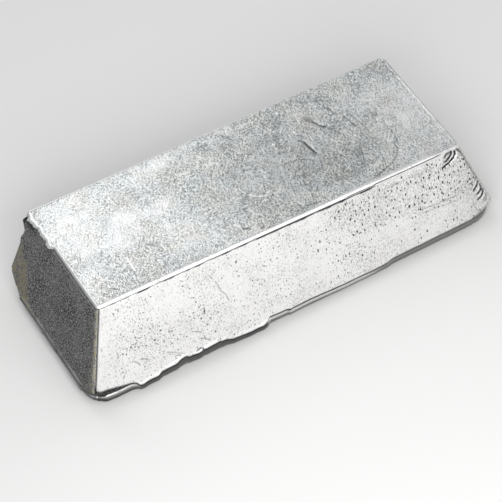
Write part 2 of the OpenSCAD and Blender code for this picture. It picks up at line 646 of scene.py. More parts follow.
@dataclass(frozen=True)
class Fin:
    """Thin fin that leaked out of the seam of the back left mould corner, with a lobe below it."""

    reach: float = 2.1
    # Direction of the fin along the ingot and across it
    run: Place = (-0.75, 0.66)
    # Share of the reach at a few depths below the mould floor
    outline: Curve = (
        (2.3, 0.0), (2.9, 0.5), (4.5, 1.0), (6.6, 0.58), (9.6, 0.0), (11.6, 0.0), (13.4, 0.24), (16.0, 0.0),
    )
    # Share of the reach that each cell has, counted from the corner
    across: tuple[float, ...] = (1.0, 0.96, 0.42, 0.1, 0.0)
    # How much brighter its edge is coloured
    gleam: float = 0.8
    # Painted shade in the recess between the fin and the torn strip: its depth, height and darkness, and
    # where it starts
    recess: Line = (3.4, 2.4, 0.9)
    recess_start: Place = (18.0, 23.0)

    def pull(self, cells: Array, depth: Array) -> Array:
        """How far the skin is drawn out along the corner's diagonal.

        Args:
            cells: Distance of each column from the corner, in cells.
            depth: Depth below the mould floor.

        Returns:
            The pull in millimetres.
        """
        share = np.interp(cells, range(len(self.across)), self.across)
        return self.reach * share * along_curve(depth, self.outline)

    def shade(self, columns: Columns, depth: Array) -> Array:
        """How dark the painted shade in the recess beside the fin is, by row and column."""
        return columns.left * smooth_step(columns.y, *self.recess_start) * soft_line(depth, self.recess)


@dataclass(frozen=True)
class Seam:
    """Seam of the front left mould corner: a fine groove on the front, beside a tarnished round edge."""

    # Cells from the corner to the groove, its half width in cells, its depth and how dark its painted shade
    # is
    place: float = 2.0
    width: float = 1.4
    depth: float = 0.16
    painted_shade: float = 1.0
    # Cells of the end, beside the corner, that are tarnished, and the streaky painted highlight among them
    tarnished_cells: float = 8.0
    gleam: Line = (3.2, 1.8, 0.6)
    gleam_start: Place = (3.0, 9.0)
    streaks: Swell = Swell(3.0, 3, 90.0, 0.9, 0.45)
    # The tarnished band is this many times as wide at the top, and wider by this much at the bottom
    spread: Place = (0.45, 0.8)

    def groove(self, columns: Columns) -> Array:
        """How deep the groove is in each column, from 0 to 1."""
        return columns.front * hump(columns.i, self.place, self.width)

    def worn(self, columns: Columns, depth: Array, pour: Pour, corner: Array) -> tuple[Array, Array]:
        """Tarnish, and painted highlight, of the end beside the seam.

        Args:
            columns: Columns of the sides.
            depth: Depth below the mould floor, by row and column.
            pour: Mould that the seam lies in.
            corner: Places down the corner, by row.

        Returns:
            Tarnish and painted highlight by row and column, from 0 to 1.
        """
        least, more = self.spread
        cells = columns.j / (least + more * depth / pour.depth)
        streaks = self.streaks.share_at(corner)[:, None] * smooth_step(depth, *self.gleam_start)
        gleam = streaks * soft_line(cells, self.gleam)
        return columns.left * hump(cells, 0, self.tarnished_cells), columns.left * gleam


@dataclass
class SideRows:
    """Rows of the sides from the lip down: values by row and column."""

    places: Array
    depth: Array
    free: Array
    tarnish: Array
    darkening: Array
    gleam: Array


@dataclass
class Skin:
    """Values that the casting's skin carries at each vertex, for its finishes to read."""

    free: Array
    tarnish: Array
    darkening: Array
    gleam: Array
    pits: Array
    rain: Array
    grain: Array
    bloom: Array

    @classmethod
    def bare(cls, count: int) -> "Skin":
        """A skin with nothing on it yet."""
        return cls(*(np.zeros(count) for _ in fields(cls)))

    def store(self, mesh: bpy.types.Mesh) -> None:
        """Writes each value to the mesh as an attribute of its own name."""
        for name, values in vars(self).items():
            layer = mesh.attributes.new(name, "FLOAT", "POINT")
            layer.data.foreach_set("value", np.clip(values, 0, 1).astype(np.float32))


@dataclass
class Vertices:
    """All vertices of the casting: places, depth below the mould floor, grid lines and what they lie on."""

    places: Array
    depth: Array
    i: Array
    j: Array
    is_top: Array
    on_wall: Array


@dataclass(frozen=True)
class Mark:
    """Scratch, crack, gouge or fold on one face, along a path."""

    face: Face
    tone: Tone
    width: float
    depth: float
    strength: float
    path: Curve


# Marks by face and tone: width, depth, strength and path
MARK_ROWS = {
    (Face.TOP, Tone.DARK): (
        # Gouges right of the middle: a broad smear that narrows to a cut, and a second cut
        (1.7, 0.06, 0.40, ((31.5, 14.5), (33.1, 11.9))),
        (0.60, 0.12, 0.75, ((33.1, 11.9), (33.7, 9.4), (34.6, 7.6), (35.7, 6.6))),
        (0.55, 0.05, 0.40, ((35.7, 6.6), (37.0, 3.8), (38.2, 1.4))),
        (0.45, 0.05, 0.45, ((24.4, 5.8), (25.7, 4.0))),
        (0.58, 0.10, 0.85, ((25.7, 4.0), (26.0, 1.0), (26.3, -1.4), (26.7, -3.3))),
        # Fine dark lines
        (0.45, 0.03, 0.40, ((15.1, -1.7), (20.2, -2.8), (23.1, -4.5), (23.8, -6.1))),
        (0.45, 0.04, 0.30, ((33.2, 23.4), (38.0, 20.6), (44.0, 17.5))),
        (0.45, 0.04, 0.50, ((43.7, 8.0), (44.3, 4.5), (44.7, 1.1))),
        (0.40, 0.04, 0.35, ((46.0, 8.0), (47.0, 1.0), (47.4, -3.6))),
        (0.45, 0.05, 0.45, ((54.2, -7.6), (53.8, -10.6), (53.1, -13.8))),
        # Long arcs towards the front edge, and scuffs beside it
        (0.45, 0.05, 0.50, ((51.8, -14.0), (51.3, -17.2), (49.4, -20.0), (46.4, -22.2), (38.2, -25.0))),
        (0.45, 0.03, 0.35, ((40.4, -10.8), (39.6, -14.0), (37.9, -16.5), (32.2, -21.8))),
        (0.80, 0.06, 0.40, ((7.6, -24.6), (12.0, -24.2), (16.6, -24.8))),
        (0.60, 0.06, 0.60, ((-11.6, -21.8), (-9.8, -23.0))),
        (0.60, 0.06, 0.60, ((-62.4, -21.8), (-60.8, -23.4))),
    ),
    # Fresh bright nicks and scratches
    (Face.TOP, Tone.BRIGHT): (
        (0.60, 0.08, 1.0, ((54.6, -2.7), (54.5, -5.6))),
        (0.50, 0.06, 1.0, ((53.2, 5.0), (53.1, 4.2))),
        (0.50, 0.06, 1.0, ((52.7, 0.4), (52.6, -0.6))),
        (0.45, 0.05, 0.60, ((42.1, 16.9), (41.9, 12.8))),
        (0.40, 0.03, 0.60, ((29.5, 17.7), (28.7, 12.5))),
        (0.40, 0.03, 0.50, ((47.4, 7.7), (45.7, -3.6))),
        (0.60, 0.04, 0.60, ((34.5, -0.2), (34.7, -1.8))),
        (0.60, 0.04, 0.60, ((33.7, -6.1), (34.1, -8.2))),
        (0.50, 0.05, 0.80, ((-2.2, -8.4), (-1.8, -9.2))),
        (0.50, 0.05, 0.90, ((-1.3, -9.8), (-0.5, -10.5))),
        (0.55, 0.05, 0.90, ((0.3, -11.1), (1.1, -11.4))),
        (0.50, 0.05, 0.80, ((2.0, -11.8), (2.6, -12.0))),
        (0.50, 0.05, 0.80, ((3.4, -11.0), (4.0, -10.9))),
        (0.45, 0.04, 0.70, ((0.4, -13.4), (1.2, -13.8))),
        (0.45, 0.04, 0.90, ((-51.5, -11.8), (-51.7, -19.0))),
        (0.45, 0.04, 0.60, ((-62.4, -16.9), (-59.8, -19.8))),
        (0.50, 0.05, 0.80, ((-62.6, -20.2), (-62.0, -22.4))),
        (0.60, 0.05, 0.80, ((-13.4, -18.3), (-12.4, -20.0))),
        (0.55, 0.03, 1.0, ((15.8, 9.2), (16.2, 8.6))),
        (0.55, 0.03, 1.0, ((25.0, 10.4), (25.1, 9.9))),
        (0.55, 0.03, 1.0, ((24.5, 22.5), (24.6, 21.8))),
        (0.50, 0.03, 0.80, ((19.4, 9.6), (19.5, 9.0))),
    ),
    (Face.FRONT, Tone.DARK): (
        # Cracks left of the middle
        (0.36, 0.06, 0.40, ((-26.2, 9.9), (-25.5, 14.0), (-24.1, 16.2), (-23.7, 18.7))),
        (0.36, 0.05, 0.35, ((-49.9, 27.7), (-47.2, 29.2), (-44.2, 31.0))),
        (0.45, 0.08, 0.65, ((-32.8, 17.6), (-33.4, 19.7))),
        # Hairlines and wrinkles above the ragged rim
        (0.36, 0.04, 0.40, ((-39.3, 24.2), (-36.3, 26.0))),
        (0.36, 0.04, 0.45, ((-37.4, 28.2), (-35.5, 29.0), (-34.3, 30.3))),
        (0.40, 0.06, 0.50, ((-47.6, 30.6), (-46.6, 30.4), (-45.7, 31.1))),
        (0.45, 0.08, 0.80, ((-39.4, 32.1), (-38.4, 31.7), (-37.5, 32.0))),
        (0.40, 0.06, 0.60, ((-31.1, 32.3), (-30.5, 31.3))),
        (0.40, 0.05, 0.45, ((-62.4, 25.2), (-61.0, 26.4), (-60.4, 27.8))),
        (0.40, 0.05, 0.45, ((-59.6, 25.8), (-58.2, 26.2), (-57.0, 27.4))),
        # Faint flow lines on the right
        (0.35, 0.03, 0.40, ((52.2, 18.0), (58.5, 18.3), (63.0, 18.3), (66.1, 18.6))),
        (0.35, 0.03, 0.28, ((52.6, 19.3), (58.5, 19.8), (66.3, 20.5))),
        (0.35, 0.03, 0.22, ((40.7, 4.3), (52.4, 4.2), (60.2, 4.4))),
        # Cold-shut folds beside the top of the right end, cut into the skin and darkened with painted shade
        # in their creases
        (0.66, 0.16, 1.0, ((69.6, 1.8), (69.5, 3.0), (68.6, 4.1), (66.6, 5.2), (63.9, 6.1))),
        (0.77, 0.16, 1.0, ((68.2, 1.4), (68.1, 2.5), (66.9, 3.5), (65.6, 4.3))),
        (0.83, 0.10, 0.80, ((67.5, 1.5), (66.5, 1.6), (65.6, 2.5))),
        (0.73, 0.10, 0.80, ((70.5, 1.4), (71.2, 2.1), (71.9, 3.3), (72.7, 5.0), (72.9, 6.3))),
        (0.59, 0.06, 0.60, ((71.6, 6.0), (72.8, 6.3))),
        (0.66, 0.04, 0.55, ((72.9, 7.4), (74.7, 13.1), (75.5, 15.0))),
        # Shorter folds lower down, also darkened with painted shade
        (0.50, 0.08, 0.70, ((73.2, 16.3), (72.4, 16.6))),
        (0.50, 0.08, 0.60, ((74.5, 14.9), (74.9, 15.8))),
        (0.60, 0.14, 1.0, ((75.7, 16.6), (74.4, 18.3), (73.1, 19.6))),
        (0.62, 0.14, 1.0, ((75.9, 18.4), (76.1, 19.7), (75.3, 20.8), (74.1, 21.5))),
        (0.66, 0.16, 1.0, ((76.5, 20.5), (76.3, 21.6), (75.4, 22.9), (74.0, 23.6))),
        (0.52, 0.10, 0.70, ((77.1, 22.4), (77.0, 23.6), (76.0, 24.5))),
        (0.50, 0.08, 0.50, ((77.4, 23.6), (77.0, 24.9), (75.4, 25.4))),
        (0.40, 0.04, 0.30, ((71.9, 22.9), (72.0, 25.9), (72.8, 27.5))),
    ),
    # Painted highlights on the lips between the folds, at the top and lower down
    (Face.FRONT, Tone.BRIGHT): (
        (0.53, -0.14, 1.0, ((70.1, 1.8), (70.4, 3.2), (69.4, 4.3), (67.7, 5.2), (65.5, 6.1), (63.4, 6.5))),
        (0.43, -0.12, 1.0, ((68.9, 1.7), (68.8, 3.0), (67.5, 3.9), (66.2, 4.7))),
        (0.42, -0.10, 1.0, ((74.6, 16.8), (73.6, 18.3), (72.4, 19.3))),
        (0.42, -0.10, 1.0, ((75.3, 18.6), (75.0, 19.8), (73.7, 20.7))),
        (0.42, -0.10, 1.0, ((75.9, 20.8), (75.4, 21.8), (74.3, 22.5))),
        (0.42, -0.10, 1.0, ((76.9, 21.6), (76.6, 22.9), (75.3, 24.0))),
    ),
}
MARKS = {kind: tuple(Mark(*kind, *row) for row in rows) for kind, rows in MARK_ROWS.items()}

# Gas pits of the front wall that stand out: place along the part, depth and radius
FRONT_PITS = (
    (-33.1, 18.8, 0.44), (-49.9, 18.6, 0.44), (-53.1, 16.4, 0.34), (-52.8, 21.1, 0.44), (-58.8, 18.3, 0.36),
    (-38.7, 18.4, 0.36), (-36.9, 17.6, 0.34), (-28.6, 21.4, 0.40), (-41.5, 15.3, 0.34), (-61.5, 19.8, 0.42),
    (-60.6, 19.2, 0.26), (-60.2, 20.4, 0.28), (-62.2, 20.6, 0.24), (-59.8, 19.6, 0.24), (-60.7, 21.3, 0.26),
    (-66.9, 27.6, 0.34), (-45.1, 24.6, 0.36), (-13.6, 15.7, 0.36), (-17.3, 6.3, 0.40), (-46.2, 20.7, 0.36),
    (-56.2, 21.7, 0.34), (-63.8, 21.7, 0.34), (-35.0, 21.0, 0.40), (-31.8, 22.4, 0.34), (-8.1, 12.4, 0.36),
)


@dataclass(frozen=True)
class Casting:
    """The one casting, with the lip of flash, the ragged rim and the relief of its skin."""

    pour: Pour = Pour()
    lip: FlashLip = FlashLip()
    rim: Rim = Rim()
    fin: Fin = Fin()
    seam: Seam = Seam()
    blank: Blank = Blank()
    # The melt leaves the wall over about this distance, and with no sharp line at the back left corner
    parting_softness: float = 0.35
    early_softness: float = 2.2
    # How tarnished the drawn-back corners are, but for the back left one, which is so all over
    corner_tarnish: float = 0.3
    # The corners of the melt bulge: their radius falls off this steeply with height
    draw_back_power: float = 1.7
    # Painted highlight in a fine line below the lip of the left end, by its depth below the mould floor
    end_highlight: Line = (2.4, 0.25, 0.55)
    # Share of the wall's depth over which the lip runs out into it
    lip_run_out: float = 1 / 12
    # Oxidised corner of the left end: where its edge starts down the back corner, how that edge falls, how
    # far it wavers and how soft it is
    oxide_start: Place = (27.8, 15.7)
    oxide_fall: float = 1.25
    oxide_waver: Swell = Swell(5.0, 3, 70.0, 3.0)
    oxide_softness: float = 1.8
    # Stretches along the front over which pits give way to rain-like pitting, and where the walls near the
    # right end get grit and painted shade; depths over which both kinds of pits start, and how thickly each
    # is strewn
    pits_end: Place = (45.0, 20.0)
    rain_start: Place = (5.0, 40.0)
    grit_and_shade_start: Place = (58.0, 80.0)
    pitting_start: Place = (1.5, 4.0)
    pit_drift: Swell = Swell(16.0, 2, 60.0, 0.7, 0.5)
    rain_drift: Swell = Swell(16.0, 2, 60.0, 0.3, 0.8)
    # Flow line below which the pitting fades: its place along the part, its fall, its depths there and the
    # share of the pitting that is left below it
    flow_x: float = 60.0
    flow_fall: float = 0.1
    flow_depth: Place = (21.0, 18.0)
    flow_share: float = 0.3
    # How gritty the left end, the right end and the right of the long walls are; on the left end and the
    # long walls the dark grit is also painted shade
    left_grit_and_shade: float = 1.0
    right_grit: float = 0.5
    side_grit_and_shade: float = 0.3
    # Frosted patches of the top, and the dull one: place, half length and half width; then how uneven the
    # frost is
    frosted: tuple[tuple[float, float, float, float], ...] = (
        (-58, 15, 9, 6), (-42, 6, 9, 5), (-31, 4, 7, 4), (-48, -2, 8, 5), (-62, 2, 5, 8), (-20, 22, 5, 3),
        (67, -5, 14, 22),
    )
    dull: tuple[float, float, float, float] = (18.0, -2.0, 27.0, 26.0)
    frosting: Swell = Swell(5.0, 3, 80.0, 0.6, 0.75)
    most_frost: float = 1.2
    # Flat margin of the underside inside the rolled edge, the gap from it to the coarse grid, the corners of
    # that, the shrinkage hollow and the crust in it
    below_margin: float = 2.5
    below_gap: float = 2.0
    below_radius: float = 8.0
    shrink_hollow: float = 0.9
    crust: Swell = Swell(14.0, 3, 2.0, 0.25, 0.25)
    # Relief of the skin, how far inside the edge of the top it starts and is full, how much of it the free
    # skin of the walls loses, and the share of it on the lip and below the rim
    relief: tuple[Swell, ...] = (
        Swell(46.0, 2, 0.0, 0.10), Swell(7.0, 2, 20.0, 0.014), Swell(2.4, 1, 40.0, 0.010),
    )
    relief_edge: Place = (0.5, 3.0)
    free_loss: float = 0.5
    edge_relief: float = 0.3

    def build(self) -> bpy.types.Object:
        """Presses the blank into the casting's shape.

        Returns:
            The finished object, not yet dressed.
        """
        blank, profile_rows = self.blank, len(self.lip.profile)
        last_wall_row = profile_rows + blank.wall_rows
        rows = last_wall_row + len(self.rim.bead) + self.rim.roll_rows + 1
        block = blank.build(rows)
        mesh = bpy.data.meshes.new("pewter_ingot")
        block.to_mesh(mesh)
        block.free()

        grid = np.empty(len(mesh.vertices) * 3)
        mesh.vertices.foreach_get("co", grid)
        grid = grid.reshape(-1, 3)
        i, j, row = np.rint(grid * (1, 1, -1)).astype(int).T
        is_top, is_below = row == 0, row > rows
        is_side = ~is_top & ~is_below
        along = blank.lines(blank.length_cells, self.pour.floor_length, blank.crowding)
        across = blank.lines(blank.width_cells, self.pour.floor_width)
        columns = blank.columns(along, across, self.pour)
        column_of = np.zeros((blank.length_cells + 1, blank.width_cells + 1), dtype=int)
        column_of[columns.i, columns.j] = np.arange(len(columns.i))

        places, depth, skin = np.empty_like(grid), np.zeros(len(grid)), Skin.bare(len(grid))
        top, bead_highlight = self._top(along, across)
        on_grid = i[is_top], j[is_top]
        places[is_top], skin.gleam[is_top] = top[on_grid], bead_highlight[on_grid]
        sides = self._sides(columns)
        on_rows = row[is_side] - 1, column_of[i[is_side], j[is_side]]
        places[is_side], depth[is_side] = sides.places[on_rows], sides.depth[on_rows]
        for name in ("free", "tarnish", "darkening", "gleam"):
            getattr(skin, name)[is_side] = getattr(sides, name)[on_rows]
        places[is_below], skin.free[is_below] = self._below(grid[is_below]), 1

        mesh.vertices.foreach_set("co", (places * MM).ravel())
        mesh.update()
        normals = np.empty(len(grid) * 3)
        mesh.vertex_normals.foreach_get("vector", normals)

        on_wall = is_side & (row > profile_rows) & (row <= last_wall_row)
        vertices = Vertices(places, depth, i, j, is_top, on_wall)
        lift = self._relief(vertices, skin) + self._scars(vertices)
        self._spread(vertices, skin)
        places += normals.reshape(-1, 3) * lift[:, None]
        places[:, 2] = np.maximum(places[:, 2], 0)

        mesh.vertices.foreach_set("co", (places * MM).ravel())
        skin.store(mesh)
        mesh.polygons.foreach_set("use_smooth", np.ones(len(mesh.polygons), dtype=bool))
        # The faces of the top grid get the second finish
        for face in mesh.polygons:
            face.material_index = int(all(is_top[vertex] for vertex in face.vertices))
        mesh.update()
        return add_object("pewter_ingot", mesh)

    def dress(
        self, piece: bpy.types.Object, floor_skin: "MouldFloorSkin", wall_skin: "MouldWallSkin"
    ) -> None:
        """Gives the casting its two finishes: the mould floor's on top, the mould wall's elsewhere."""
        piece.data.materials.append(wall_skin.material())
        piece.data.materials.append(floor_skin.material())

    def _top(self, along: Array, across: Array) -> tuple[Array, Array]:
        """Top grid: the mould floor's face, with the bead of the lip round it.

        Args:
            along: Places of the grid lines along the ingot, from -1 to 1.
            across: Those of the lines across it.

        Returns:
            Places by grid line along and across, and how bright the painted highlight along the bead is
            there.
        """
        pour, lip, edge_cells = self.pour, self.lip, self.blank.edge_cells
        a, b = np.meshgrid(along, across, indexing="ij")
        x, y = a * pour.floor_length / 2, b * pour.floor_width / 2
        counts = (np.arange(len(lines)) for lines in (along, across))
        from_end, from_side = np.meshgrid(*(np.minimum(c, c[::-1]) for c in counts), indexing="ij")
        end_reach = lip.top_share * lip.reach(True, a, y)
        side_reach = lip.top_share * lip.reach(False, b, x)
        u = x + np.sign(a) * end_reach * np.clip(1 - from_end / edge_cells, 0, 1)
        v = y + np.sign(b) * side_reach * np.clip(1 - from_side / edge_cells, 0, 1)
        half_u, half_v = pour.floor_length / 2 + end_reach, pour.floor_width / 2 + side_reach
        u, v = round_corners(u, v, half_u, half_v, pour.corner_radius(a, b))
        bead, bead_highlight = np.zeros_like(u), np.zeros_like(u)
        edges = (
            (from_end * lip.narrowed(True, a, y), end_reach, np.where(a < 0, lip.left_flatness, 1.0)),
            (from_side * lip.narrowed(False, b, x), side_reach, 1.0),
        )
        for cells, reach, flatness in edges:
            size = lip.size(reach, lip.largest)
            flat = flatness * (1 - lip.torn_loss * smooth_step(reach, *lip.torn_reach))
            rise = np.interp(cells, range(len(lip.bead)), lip.bead) * size * flat
            bead = np.where(np.abs(rise) > np.abs(bead), rise, bead)
            # Painted highlight along the bead, weaker where the bead is flat or torn
            worn = np.interp(cells, range(len(lip.bead_highlight)), lip.bead_highlight) * size
            bead_highlight = np.maximum(bead_highlight, worn * (lip.flat_highlight + (1 - lip.flat_highlight) * flat))
        return pour.in_room(u, v, -bead), bead_highlight

    def _sides(self, columns: Columns) -> SideRows:
        """Works out the rows down the sides, from the lip to the underside.

        Args:
            columns: Columns of the sides.

        Returns:
            The rows.
        """
        pour, lip, rim, fin, seam = self.pour, self.lip, self.rim, self.fin, self.seam
        a, b, floor = columns.a, columns.b, columns.floor_places
        end_reach, side_reach = lip.reach(True, a, columns.y), lip.reach(False, b, columns.x)
        rim_x = a * pour.rim_half_length
        rim_z = pour.rim_height + columns.front * along_curve(rim_x, rim.front_laps)
        rim_depth = pour.depth_at(a, rim_z + rim.waver.at(floor))

        shares = [lip.share(number, columns) for number in range(len(lip.profile))]
        depths = [np.full(len(a), depth) for depth, _ in lip.profile]
        start, last_share = lip.profile[-1][0], shares[-1]
        for share in self.blank.wall_shares():
            depths.append(start + (rim_depth - start) * share)
            shares.append(last_share * max(0.0, 1 - share / self.lip_run_out))
        w, share = np.array(depths), np.array(shares)

        half_u = pour.floor_length / 2 + w * pour.end_slope
        half_v = pour.floor_width / 2 + w * pour.side_slope
        half_u += share * np.maximum(end_reach - w * pour.end_slope, 0)
        half_v += share * np.maximum(side_reach - w * pour.side_slope, 0) + lip.second_ridge(columns, w)
        u, v = round_corners(a * half_u, b * half_v, half_u, half_v, pour.corner_radius(a, b))
        from_corner = columns.i + (self.blank.width_cells - columns.j)
        pull = fin.pull(np.broadcast_to(from_corner, w.shape), w)
        groove = seam.groove(columns) * smooth_step(w, lip.crevice_start, lip.crevice_end[0][1])
        u, v = u + fin.run[0] * pull, v + fin.run[1] * pull + seam.depth * groove
        places = pour.in_room(u, v, w)

        over_rim = rim_depth - w
        lap = rim.lap(columns, rim_x) * smooth_step(over_rim, rim.lap_height, 0.0)
        places[..., 1] -= rim.lap_bulge * lap * rim.flutter.at(floor)
        places, free, tarnish = self._draw_back(places)

        # The front left corner is the first column
        shadow = columns.front * rim.corner_shadow(places[..., 0] - places[:, :1, 0], over_rim)
        seam_tarnish, seam_highlight = seam.worn(columns, w, pour, places[:, 0])
        on_sides = (columns.j == 0) | (columns.j == self.blank.width_cells)
        reach = np.where(on_sides, side_reach, end_reach)
        uneven = columns.left * rim.ledge.share_at(floor)
        # Painted shade in the crevice under the lip, the seam's groove, the recess beside the fin and the
        # drawn-back front left corner
        darkening = reduce(np.maximum, (
            lip.painted_shade(columns, reach, w), seam.painted_shade * groove, fin.shade(columns, w) * (from_corner >= 1),
            rim.corner_shade * shadow,
        ))
        # Painted highlights along the lip and the second ridge, on the left end's lines and beside the seam,
        # and the fin's brighter edge
        gleam = reduce(np.maximum, (
            lip.side_highlight(columns, reach, w), fin.gleam * (from_corner < 1) * np.clip(pull, 0, 1),
            columns.left * soft_line(w, self.end_highlight), seam_highlight,
            uneven * soft_line(over_rim, rim.left_highlight),
        ))
        low, low_shade, low_gleam = self._roll(places[-1], columns, uneven, rim_x)
        bare = np.zeros(low_shade.shape)
        return SideRows(
            places=np.concatenate([places, low]),
            depth=np.concatenate([w, np.broadcast_to(w[-1], bare.shape)]),
            free=np.concatenate([np.maximum(free, shadow), bare + 1]),
            tarnish=np.concatenate([np.maximum(tarnish, seam_tarnish), bare]),
            darkening=np.concatenate([darkening, low_shade]),
            gleam=np.concatenate([gleam, low_gleam]),
        )

    def _draw_back(self, places: Array) -> tuple[Array, Array, Array]:
        """Pulls the skin in to the melt's round corners, where it left the mould.

        Args:
            places: Places by row and column.

        Returns:
            The new places, how much of the skin there set free of the mould, and how much it
            is tarnished.
        """
        pour = self.pour
        places, free, tarnish = places.copy(), np.zeros(places.shape[:2]), np.zeros(places.shape[:2])
        for end, side, rim_radius in pour.rim_corners:
            early = (end, side) == (LEFT, BACK)
            soft = self.early_softness if early else self.parting_softness
            stain = 1.0 if early else self.corner_tarnish
            rise = (pour.draw_back_height - places[..., 2]) / (pour.draw_back_height - pour.rim_height)
            radius = rim_radius * np.clip(rise, 0.01, 1) ** self.draw_back_power
            centre_x = end * (pour.rim_half_length - radius)
            centre_y = side * (pour.rim_half_width(end) - radius)
            run_x, run_y = places[..., 0] - centre_x, places[..., 1] - centre_y
            in_corner = (run_x * end > 0) & (run_y * side > 0)
            run = np.hypot(run_x, run_y)
            excess = np.clip((run - radius) / soft, -30, 30)
            kept = np.where(in_corner, 1 - soft * np.log1p(np.exp(excess)) / np.maximum(run, 1), 1)
            places[..., 0] = centre_x + run_x * kept
            places[..., 1] = centre_y + run_y * kept
            parted = np.where(in_corner, 1 / (1 + np.exp(-excess)), 0)
            free, tarnish = np.maximum(free, parted), np.maximum(tarnish, stain * parted)
        return places, free, tarnish

    def _roll(
        self, ring: Array, columns: Columns, ledge: Array, rim_x: Array
    ) -> tuple[Array, Array, Array]:
        """Rows below the rim: a fine bead, and the edge that rolls under to the free surface.

        Args:
            ring: Places of the rim by column.
            columns: Columns of the sides.
            ledge: How much of a ledge the bead of the left end is in each column.
            rim_x: Place of each column along the rim.

        Returns:
            Places by row and column, and how dark their painted shade and how bright their painted highlight
            are.
        """
        pour, rim, front = self.pour, self.rim, columns.front
        tangent = np.roll(ring, -1, axis=0) - np.roll(ring, 1, axis=0)
        outward = np.stack([tangent[:, 1], -tangent[:, 0]], axis=-1)
        for _ in range(rim.smoothing):
            outward = outward + np.roll(outward, 1, axis=0) + np.roll(outward, -1, axis=0)
            outward /= np.linalg.norm(outward, axis=1, keepdims=True)
        lap, groove = rim.lap(columns, rim_x), rim.groove(columns, rim_x)
        rows, shades, gleams = [], [], []
        for drop, out, painted_shade, bright in rim.bead:
            reach = out * (1 - rim.lap_flatness * lap) * (groove if out < 0 else 1)
            reach = reach + rim.left_ledge * ledge * (out > 0)
            rows.append(np.column_stack([ring[:, :2] + outward * reach[:, None], ring[:, 2] - drop]))
            # Painted shade in the groove and at laps, and painted highlight on the bead and the left end's
            # ledge
            shades.append(np.maximum(painted_shade * groove, rim.bead_shade * lap))
            gleams.append(bright * np.maximum(ledge, front * (1 - lap) * (groove - rim.groove_least)))
        last = rows[-1]
        for angle in np.linspace(0, math.pi / 2, rim.roll_rows + 1)[1:]:
            cos_turn, sin_turn = math.cos(angle), math.sin(angle)
            inset = pour.roll_radius * (1 - cos_turn)
            rows.append(np.column_stack([last[:, :2] - outward * inset, last[:, 2] * (1 - sin_turn)]))
            # Painted shade on the rolled edge at laps and along the front
            shades.append(np.maximum(rim.roll_shade * lap, rim.front_roll_shade * front) * cos_turn)
            gleams.append(0 * lap)
        inset = pour.roll_radius + self.below_margin
        rows.append(np.column_stack([last[:, :2] - outward * inset, 0 * last[:, 2]]))
        return np.array(rows), np.array([*shades, 0 * lap]), np.array([*gleams, 0 * lap])

    def _below(self, grid: Array) -> Array:
        """Underside, with a shallow shrinkage hollow.

        Args:
            grid: Places of the coarse grid in the blank.

        Returns:
            Its places in the part's frame.
        """
        pour, blank = self.pour, self.blank
        a = grid[:, 0] / blank.length_cells * 2 - 1
        b = grid[:, 1] / blank.width_cells * 2 - 1
        inset = pour.roll_radius + self.below_margin + self.below_gap
        half_u = pour.rim_half_length - inset
        half_v = (pour.rim_half_width(LEFT) + pour.rim_half_width(RIGHT)) / 2 - inset
        u, v = round_corners(a * half_u, b * half_v, half_u, half_v, self.below_radius)
        dome = (1 - a**2) * (1 - b**2)
        crust = self.crust.at(np.column_stack([u, v, 0 * u]))
        return np.column_stack([u, v, dome * self.shrink_hollow + np.sqrt(dome) * crust])

    def _relief(self, vertices: Vertices, skin: Skin) -> Array:
        """Uneven relief of the cast skin, weaker on the lip and at the free surface.

        Args:
            vertices: All vertices of the casting.
            skin: Values that the skin carries.

        Returns:
            Its height along the normals.
        """
        places, pour = vertices.places, self.pour
        lift = sum(layer.at(places) for layer in self.relief)
        half_length, half_width = pour.floor_length / 2, pour.floor_width / 2
        edge = np.minimum(half_length - np.abs(places[:, 0]), half_width - np.abs(places[:, 1]))
        off_top = np.where(vertices.on_wall, 1 - self.free_loss * skin.free, self.edge_relief)
        return lift * np.where(vertices.is_top, smooth_step(edge, *self.relief_edge), off_top)

    def _scars(self, vertices: Vertices) -> Array:
        """Relief of the marks that are cut into the skin or stand out of it.

        Args:
            vertices: All vertices of the casting.

        Returns:
            Its height along the normals.
        """
        places, is_top = vertices.places, vertices.is_top
        on_front = vertices.on_wall & (vertices.j == 0)
        lift = np.zeros(len(places))
        middle = self.pour.in_room(0.0, 0.0, 0.0)[:2]
        faces = {
            Face.TOP: (is_top, places[is_top][:, :2] - middle),
            Face.FRONT: (on_front, np.column_stack([places[on_front][:, 0], vertices.depth[on_front]])),
        }
        for mark in (mark for marks in MARKS.values() for mark in marks):
            chosen, points = faces[mark.face]
            lift[chosen] -= mark.depth * hump(distance_to_path(points, mark.path), 0, mark.width)
        return lift

    def _spread(self, vertices: Vertices, skin: Skin) -> None:
        """Says where the skin is pitted, grainy, tarnished or frosted, and where dark grit also paints
        shade.

        Args:
            vertices: All vertices of the casting.
            skin: Values that the skin carries, which this adds to.
        """
        places, depth, on_wall = vertices.places, vertices.depth, vertices.on_wall
        x, y, left = places[:, 0], places[:, 1], vertices.i == 0
        on_long = on_wall & ((vertices.j == 0) | (vertices.j == self.blank.width_cells))
        on_end = on_wall & (left | (vertices.i == self.blank.length_cells))
        inside = on_long * smooth_step(depth, *self.pitting_start) * (1 - skin.free)
        skin.pits = inside * self.pit_drift.share_at(places) * smooth_step(x, *self.pits_end)
        above = smooth_step(depth - self.flow_fall * (x - self.flow_x), *self.flow_depth)
        wet = self.flow_share + (1 - self.flow_share) * above
        skin.rain = inside * self.rain_drift.share_at(places) * smooth_step(x, *self.rain_start) * wet
